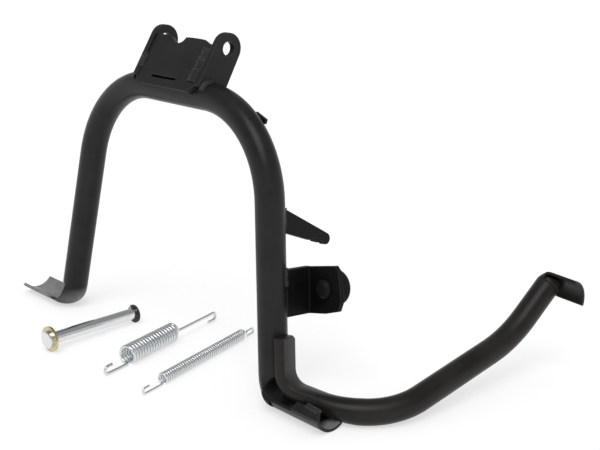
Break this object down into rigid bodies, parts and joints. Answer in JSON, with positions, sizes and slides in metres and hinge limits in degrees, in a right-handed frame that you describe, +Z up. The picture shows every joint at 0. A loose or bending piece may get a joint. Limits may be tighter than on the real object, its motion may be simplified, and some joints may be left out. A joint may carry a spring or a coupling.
{
  "type": "motorcycle centre stand",
  "caption": "Bent-tube centre stand with pressed feet, welded hinge bracket, spring hook plate, rubber buffer bracket and kick lever, with its hinge pin, washer, clip and two springs.",
  "frame": {"origin": "the middle of the hinge pin's bore, on its axis half way between the two ears' outer faces; the floor that the stand stands on lies 244.4 mm below it", "axes": "+X across the stand towards the kick lever's side, +Y towards the rear, the way the stand leans and the kick lever runs, +Z up"},
  "size_m": [0.4593, 0.2786, 0.2564],
  "materials": {
    "black_paint": "satin",
    "bright_zinc": "bright zinc plate",
    "yellow_zinc": "yellow passivated zinc plate",
    "dark_spring_steel": "phosphated",
    "rubber": "matte"
  },
  "bodies": {
    "root": {"buffer_bracket": "black_paint", "foot_gusset": "black_paint", "hinge_pin": "bright_zinc", "kick_lever": "black_paint", "large_spring": "bright_zinc", "left_ear": "black_paint", "pin_clip": "dark_spring_steel", "pin_washer": "yellow_zinc", "rear_tab": "black_paint", "right_ear": "black_paint", "rubber_buffer": "rubber", "small_spring": "bright_zinc", "spring_hook_plate": "black_paint", "u_tube": "black_paint", "web_plate": "black_paint", "weld_buffer_bracket": "black_paint", "weld_foot_gusset": "black_paint", "weld_hook_plate": "black_paint", "weld_left_ear_to_tube": "black_paint", "weld_right_ear_to_tube": "black_paint", "weld_web_to_left_ear": "black_paint", "weld_web_to_right_ear": "black_paint"}
  },
  "joints": []
}
